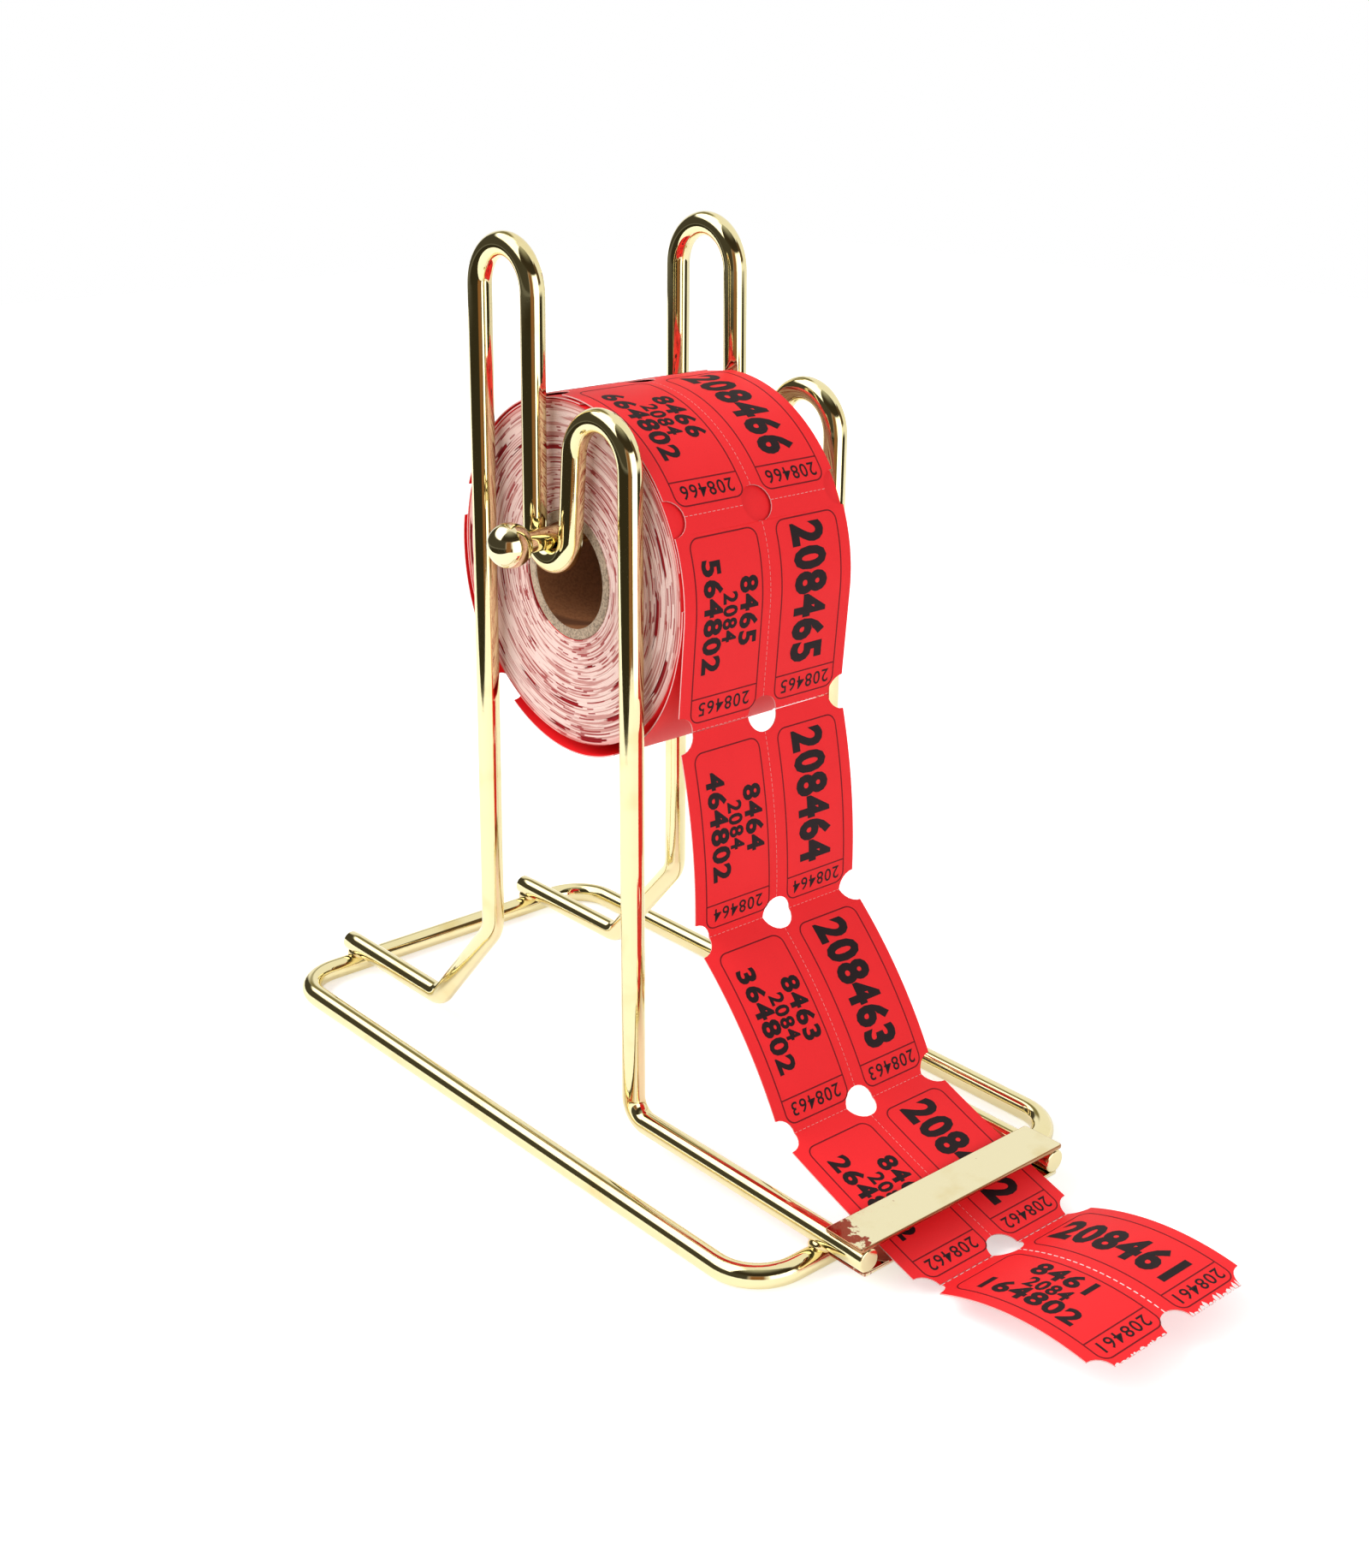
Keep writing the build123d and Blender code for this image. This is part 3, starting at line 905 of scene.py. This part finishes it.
axis = Vector((saddle_ahead, axis_up))
loose_centre = out_from(axis, tight_r - loose_r, tight_end)
loose_stop = out_from(loose_centre, loose_r, loose_end)
reach = loose_stop - axis
swing = out_from((0, 0), 1, tail_end) - out_from((0, 0), 1, loose_end)
half_b = reach.dot(swing)
miss = reach.dot(reach) - tail_r ** 2
tail_bend_r = (-half_b + sqrt(half_b ** 2 - swing.dot(swing) * miss)) / swing.dot(swing)
tail_centre = loose_stop - out_from((0, 0), tail_bend_r, loose_end)
leave_point = out_from(axis, tight_r, leave_angle)
row_b = leave_point + Vector((sin(radians(leave_angle)), -cos(radians(leave_angle)))) * hang_run
row_c = Vector((144.7, 59.8))
row_d = Vector((runner_reach - 35.0, runner_up + 11.75))
row_e = Vector((runner_reach + 10.6, runner_up - 5.75))
row_f = row_e + Vector((46.8, 5.6))

# The turn round the roll, from its tail end to row b, counted back from row b.
turn_line = arc_line(axis, tail_r, tail_end + under_sweep, tail_end)
turn_line += arc_line(tail_centre, tail_bend_r, tail_end, loose_end)
turn_line += arc_line(loose_centre, loose_r, loose_end, tight_end)
turn_line += arc_line(axis, tight_r, tight_end, leave_angle)
hang_steps = ceil(hang_run / path_step)
turn_line += [leave_point.lerp(row_b, step / hang_steps) for step in range(hang_steps)]
turn_line.append(row_b)
line_at = [0.0]
for here, there in zip(turn_line[::-1], turn_line[-2::-1]):
    line_at.insert(0, line_at[0] - (there - here).length)
line_points = list(turn_line)
# Each ticket's two rows, and how far it bows between them.
tickets = ((row_b, row_c, 2.0), (row_c, row_d, 2.6), (row_d, row_e, -0.6), (row_e, row_f, 4.2))
for number, (start, end, bow) in enumerate(tickets):
    ticket_line = bowed_line(start, end, bow) + [end]
    for step, point in enumerate(ticket_line[1:], 1):
        line_at.append(pitch * (number + step / (len(ticket_line) - 1)))
        line_points.append(point)
line_sides = []
for index in range(len(line_points)):
    before, after = line_points[max(index - 1, 0)], line_points[min(index + 1, len(line_points) - 1)]
    heading = (after - before).normalized()
    line_sides.append(Vector((-heading.y, heading.x)))
# How far right the strip's middle lies at a place along it: it wanders as it comes down.
drift = [(-1000, -1.4), (0, -1.4), (50, -0.5), (100, 0.6), (150, 1.5), (200, 1.8)]


def on_strip(u, s, height):
    """Puts a flat place on the strip: u to the right, s past row b, height off its middle."""
    s = min(max(s, line_at[0]), line_at[-1])
    index = min(max(bisect_right(line_at, s) - 1, 0), len(line_at) - 2)
    share = (s - line_at[index]) / (line_at[index + 1] - line_at[index])
    point = line_points[index].lerp(line_points[index + 1], share)
    outwards = line_sides[index].lerp(line_sides[index + 1], share).normalized()
    for (s_a, x_a), (s_b, x_b) in zip(drift, drift[1:]):
        if s_a <= s <= s_b:
            middle = x_a + (x_b - x_a) * (s - s_a) / (s_b - s_a)
    point = point + outwards * height
    return place(middle + u, point.x, point.y)


# --- Ticket strip: the card ---------------------------------------------------------------
# Die-cut before it was wound: a round hole where the perforations cross, half a hole at
# each edge, and a row of slits between tickets. The free end was torn by hand, so its
# edge is ragged and shows the white inside of the card.
notch_r = 4.3
fold_gap = 0.3
cut_gap = 0.1
torn_at = 4 * pitch
tear_step = 0.35
notch_steps = 12
cut_step = 1.6


def filled_flat(loops, name):
    """A flat mesh of (u, s) bounded by the first loop, with the others as holes."""
    cut = bpy.data.curves.new(name, "CURVE")
    cut.dimensions = "2D"
    cut.fill_mode = "BOTH"
    for loop in loops:
        spline = cut.splines.new("POLY")
        spline.points.add(len(loop) - 1)
        for point, (u, s) in zip(spline.points, loop):
            point.co = (u, s, 0, 1)
        spline.use_cyclic_u = True
    return flat_mesh(cut, name)


def flat_mesh(curve, name):
    """A curve or a text as a plain mesh."""
    holder = in_scene(name, curve)
    ready = holder.evaluated_get(bpy.context.evaluated_depsgraph_get())
    mesh = bpy.data.meshes.new_from_object(ready)
    bpy.data.objects.remove(holder)
    return mesh


def laid_on_strip(meshes, name, s_from, s_to, height, thickness, *finishes):
    """Cuts flat meshes across every short step, lays them on the strip and thickens them.

    The last of the finishes is for the rim.
    """
    shape = bmesh.new()
    for mesh in meshes:
        shape.from_mesh(mesh)
        bpy.data.meshes.remove(mesh)
    bmesh.ops.remove_doubles(shape, verts=shape.verts, dist=1e-4)
    cuts = ceil((s_to - s_from) / cut_step)
    for cut in range(1, cuts):
        every = shape.verts[:] + shape.edges[:] + shape.faces[:]
        level = (0, s_from + (s_to - s_from) * cut / cuts, 0)
        bmesh.ops.bisect_plane(shape, geom=every, dist=1e-5, plane_co=level, plane_no=(0, 1, 0))
    for face in shape.faces:
        if face.normal.z > 0:
            face.normal_flip()
        face.smooth = True
    for vert in shape.verts:
        vert.co = on_strip(vert.co.x, vert.co.y, height)
    piece = in_scene(name, mesh_from(shape, name, *finishes))
    thicken = piece.modifiers.new("thickness", "SOLIDIFY")
    thicken.thickness = thickness * mm
    thicken.offset = 0
    thicken.use_even_offset = False
    thicken.material_offset_rim = len(finishes) - 1
    return piece


def half_round(middle_s, edge_u, inwards, s_from, s_to):
    """An edge notch round a row, walked in the way of rising or falling s."""
    points = []
    for step in range(notch_steps + 1):
        angle = pi * step / notch_steps
        s = middle_s - notch_r * cos(angle) * (1 if s_to > s_from else -1)
        if min(s_from, s_to) < s < max(s_from, s_to):
            points.append((edge_u + inwards * notch_r * sin(angle), s))
    return points


def card_loops(s_from, s_to, start_edge, end_edge):
    """The outline of a length of strip and the holes inside it.

    start_edge and end_edge are lists of (u, s) from left to right.
    """
    rows = [pitch * n for n in range(-10, 5) if s_from - notch_r < pitch * n < s_to + notch_r]
    loop = list(start_edge)
    for row in rows:
        loop += half_round(row, ticket_width, -1, s_from, s_to)
    loop += end_edge[::-1]
    for row in rows[::-1]:
        loop += half_round(row, -ticket_width, 1, s_to, s_from)
    holes = []
    for row in rows:
        if s_from + notch_r < row < s_to - notch_r:
            around = [2 * pi * step / (2 * notch_steps) for step in range(2 * notch_steps)]
            holes.append([(notch_r * cos(a), row + notch_r * sin(a)) for a in around])
    return [loop] + holes


def half_hole(s, towards):
    """Half of the middle hole at a row, from left to right."""
    around = [pi * step / (2 * notch_steps) for step in range(2 * notch_steps + 1)]
    return [(-notch_r * cos(a), s + towards * notch_r * sin(a)) for a in around]


def cut_edge(s, towards):
    """A row's edge from left to right: it goes round the row's notches and middle hole."""
    return [(-ticket_width + notch_r, s), *half_hole(s, towards), (ticket_width - notch_r, s)]


def torn_edge(s, towards, seed, rag):
    """A row's edge as cut_edge has it, but ragged where the card was torn."""
    tear = random.Random(seed)
    ragged = []
    for u_from, u_to in ((-ticket_width + notch_r, -notch_r), (notch_r, ticket_width - notch_r)):
        steps = int((u_to - u_from) / tear_step)
        for step in range(steps + 1):
            bite = tear.random() ** 2 * rag
            ragged.append((u_from + (u_to - u_from) * step / steps, s + towards * (0.02 + bite)))
        if u_to < 0:
            ragged += half_hole(s, towards)[1:-1]
    return ragged


card_edge, *_ = matt_finish("card edge", (0.80, 0.42, 0.40), 0.8, 0.2, 0.02, 0.2)
torn_white, *_ = matt_finish("torn card", (0.84, 0.76, 0.74), 0.9, 0.15, 0.05, 0.15)
tail_edge = [(-ticket_width, line_at[0]), (ticket_width, line_at[0])]
lengths = {
    "turn": (line_at[0], 0.0, tail_edge, cut_edge(-cut_gap, -1)),
    "hang": (cut_gap, 3 * pitch - cut_gap, cut_edge(cut_gap, 1), cut_edge(3 * pitch - cut_gap, -1)),
    "end": (
        3 * pitch + fold_gap, torn_at,
        cut_edge(3 * pitch + fold_gap, 1), torn_edge(torn_at, -1, 5, 0.28),
    ),
}
cards = {}
for name, (s_from, s_to, start_edge, end_edge) in lengths.items():
    flat = filled_flat(card_loops(s_from, s_to, start_edge, end_edge), f"card {name}")
    cards[name] = laid_on_strip(
        [flat], f"card_{name}", s_from, s_to, 0, ticket_t, red_card, card_edge
    )


# --- Ticket strip: print ------------------------------------------------------------------
# Each ticket has a thin frame with a box for its running number across the bottom, and
# larger plain numbers along its length, printed in black ink that turns the red darker.
ink_t = 0.03
ink_height = ticket_t / 2 + 0.02
line_width = 0.32
frame_corner_r = 2.7
cap_share = 0.69  # how high the figures are for a text size of 1
letter_space = 1.12
black_ink, *_ = matt_finish("black ink", (0.014, 0.006, 0.008), 0.6, 0.2, 0.01, 0.3)
line_ink, *_ = matt_finish("thin line ink", (0.16, 0.006, 0.010), 0.6, 0.2, 0.01, 0.2)


def printed_frame(u_from, u_to, s_from, s_to, box_s):
    """The thin frame of a ticket and the line above its number box."""
    w, round_r, square_r = line_width, frame_corner_r - line_width, 0.05
    open_top = (square_r, square_r, round_r, round_r)
    return filled_flat(
        [
            round_box(u_from, u_to, s_from, s_to, [frame_corner_r] * 4, 6),
            round_box(u_from + w, u_to - w, s_from + w, box_s - w / 2, open_top, 6),
            round_box(u_from + w, u_to - w, box_s + w / 2, s_to - w, open_top[::-1], 6),
        ],
        "ticket frame",
    )


def printed_number(text, u_from, s_from, cap_height, length, weight, upside_down=False):
    """A number as a flat mesh: down the strip with its tops to the right, or upside down."""
    words = bpy.data.curves.new("number", "FONT")
    words.body = text
    words.size = cap_height / cap_share
    words.offset = weight
    words.space_character = letter_space
    words.resolution_u = 3
    mesh = flat_mesh(words, "number")
    spread = [vert.co.x for vert in mesh.vertices]
    widest, start = max(spread) - min(spread), min(spread)
    for vert in mesh.vertices:
        tx, ty = (vert.co.x - start) / widest * length, vert.co.y
        if upside_down:
            vert.co = (u_from - tx, s_from + ty, 0)
        else:
            vert.co = (u_from + ty, s_from + tx, 0)
    return mesh


def printed_pair(row, serial):
    """Everything printed on the two tickets below a row, as black and thin flat meshes."""
    number = f"{serial:06d}"
    # Where each number starts across and below the row, its height, its length, its boldness.
    black = [
        printed_number(number, 8.2, row + 6.3, 8.8, 33.2, 0.6),
        printed_number(number[2:], -8.9, row + 15.4, 4.9, 16.2, 0.26),
        printed_number(number[:4], -14.0, row + 18.2, 3.9, 11.7, 0.18),
        printed_number(number[::-1], -19.5, row + 10.2, 4.9, 26.3, 0.28),
        printed_number(number, 20.6, row + 43.2, 3.2, 15.2, 0.03, True),
        printed_number(number, -4.6, row + 43.2, 3.2, 15.2, 0.03, True),
    ]
    thin = [
        printed_frame(3.3, 22.3, row + 4.7, row + 47.8, row + 41.9),
        printed_frame(-22.2, -2.3, row + 4.9, row + 48.0, row + 42.0),
    ]
    return black, thin


first_serial = 208464
prints = []
for number in range(-5, 4):
    row = pitch * number
    black, thin = printed_pair(row, first_serial - number)
    owner = "turn" if number < 0 else "hang" if number < 3 else "end"
    for kind, finish, flats in (("numbers", black_ink, black), ("lines", line_ink, thin)):
        piece = laid_on_strip(flats, f"{kind}_{number}", row, row + pitch, ink_height, ink_t, finish)
        prints.append((owner, piece))


# --- Ticket strip: perforations and tear ----------------------------------------------------
# The slits between tickets show the card's pale inside as a row of short dashes, finer
# down the middle. Where the strip was torn, white fibres stand along the edge.
slit_tree, size = start_tree(
    "row of slits",
    {
        "Row length": "Float", "Slits": "Int", "Slit length": "Float", "Slit width": "Float",
        "Finish": "Material",
    },
)
half_row = times(slit_tree, size["Row length"], 0.5)
start_at = add_node(slit_tree, "ShaderNodeCombineXYZ", {0: times(slit_tree, half_row, -1.0)})
end_at = add_node(slit_tree, "ShaderNodeCombineXYZ", {0: half_row})
row_of = add_node(
    slit_tree, "GeometryNodeMeshLine",
    {"Count": size["Slits"], "Start Location": start_at.outputs[0], "Offset": end_at.outputs[0]},
    mode="END_POINTS",
)
one_slit = add_node(
    slit_tree, "GeometryNodeMeshGrid",
    {"Size X": size["Slit length"], "Size Y": size["Slit width"], "Vertices X": 2, "Vertices Y": 2},
)
slits = add_node(
    slit_tree, "GeometryNodeInstanceOnPoints",
    {"Points": row_of.outputs[0], "Instance": one_slit.outputs[0]},
)
finish_tree(slit_tree, slits.outputs[0], size["Finish"])
slit_spacing = 1.55  # from slit to slit, in slit lengths


def slit_row(middle_u, middle_s, length, along_strip, slit_length, slit_width):
    """A flat row of slits round a middle, across the strip or along it."""
    count = round(length / (slit_length * slit_spacing))
    sizes = {
        "Row length": length, "Slits": count, "Slit length": slit_length,
        "Slit width": slit_width, "Finish": torn_white,
    }
    row = made_by(slit_tree, "slits", bpy.data.meshes.new("slits"), sizes)
    mesh = row.data
    bpy.data.objects.remove(row)
    for vert in mesh.vertices:
        x, y = vert.co.x, vert.co.y
        vert.co = (middle_u + y, middle_s + x, 0) if along_strip else (middle_u + x, middle_s + y, 0)
    mesh.materials.clear()
    return mesh


clear_of_hole = notch_r + 0.4
across_ticket = ticket_width - 2 * clear_of_hole
along_ticket = pitch - 2 * clear_of_hole
# Where two lengths meet, one of them has the row's slits, a little way in from its edge.
set_in = {(3, "end"): fold_gap + 0.3, (0, "turn"): -0.25}
slitless = ((0, "hang"), (3, "hang"), (4, "end"))
for owner, first, last in (("turn", -5, 0), ("hang", 0, 3), ("end", 3, 4)):
    rows = []
    dash, bold_across, bold_along = (1.15, 0.32, 0.28) if owner == "end" else (0.8, 0.11, 0.08)
    for number in range(first, last + 1):
        row = number * pitch
        if (number, owner) not in slitless:
            s = row + set_in.get((number, owner), 0)
            for side in (-1, 1):
                rows.append(slit_row(side * ticket_width / 2, s, across_ticket, False, dash, bold_across))
        if number < last:
            rows.append(slit_row(0, row + pitch / 2, along_ticket, True, dash, bold_along))
    pale = torn_white if owner == "end" else card_edge
    dashes = laid_on_strip(rows, f"slits_{owner}", first * pitch, last * pitch, ink_height, ink_t, pale)
    prints.append((owner, dashes))

tear = random.Random(3)
fibre_loops = []
fibre_s = torn_at - 0.05
for u_from, u_to, wide in (
    (notch_r, ticket_width - notch_r, 1.9),
    (-ticket_width + notch_r, -notch_r, 0.6),
):
    u = u_from
    while u < u_to - 0.6:
        width = tear.uniform(0.5, 1.5)
        depth = tear.uniform(0.25, 1.0) * wide
        stop = min(u + width, u_to)
        lean = tear.uniform(-0.3, 0.3)
        fibre_loops.append([
            (u, fibre_s), (u + 0.1 + lean * 0.3, fibre_s - 0.05 - depth * 0.6),
            ((u + stop) / 2 + lean, fibre_s - depth), (stop - 0.1, fibre_s - 0.05 - depth * 0.5),
            (stop, fibre_s),
        ])
        u = stop + tear.uniform(0, 0.5) / wide
fibres = laid_on_strip(
    [filled_flat([loop], "fibre") for loop in fibre_loops], "torn_fibres", torn_at - 2, torn_at,
    ink_height + 0.01, 0.05, torn_white,
)
prints.append(("end", fibres))


# --- Ticket strip: joined by body -----------------------------------------------------------
# Card and print become one piece for each length. In the object the hanging length bends
# between axle and stand and the free end folds; here the turn goes with the axle, the
# hanging length stays where it lies, and the free end has a body of its own.
def joined_piece(name, parts):
    """One mesh out of several pieces, each with its modifiers taken in."""
    whole = bmesh.new()
    finishes = []
    graph = bpy.context.evaluated_depsgraph_get()
    for part in parts:
        mesh = bpy.data.meshes.new_from_object(part.evaluated_get(graph))
        before = len(whole.faces)
        whole.from_mesh(mesh)
        whole.faces.ensure_lookup_table()
        for face in whole.faces[before:]:
            finish = part.data.materials[min(face.material_index, len(part.data.materials) - 1)]
            if finish not in finishes:
                finishes.append(finish)
            face.material_index = finishes.index(finish)
        bpy.data.meshes.remove(mesh)
        bpy.data.objects.remove(part)
    mesh = mesh_from(whole, name, *finishes)
    mesh.set_sharp_from_angle(angle=radians(40))
    return in_scene(name, mesh)


strip_pieces = {}
for owner, name in (("turn", "outer_turn_card"), ("hang", "hanging_strip"), ("end", "end_tickets")):
    parts = [cards[owner]] + [piece for whose, piece in prints if whose == owner]
    strip_pieces[owner] = joined_piece(name, parts)

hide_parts("outer_turn")
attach(strip_pieces["turn"], "axle")
hanging_nodes = [
    f"{which}_ticket_{hand}" for which in ("hanging", "knee", "throat") for hand in ("left", "right")
]
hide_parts(*hanging_nodes)
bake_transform(strip_pieces["hang"])
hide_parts("end_ticket_left", "end_ticket_right")
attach(strip_pieces["end"], "end_ticket")
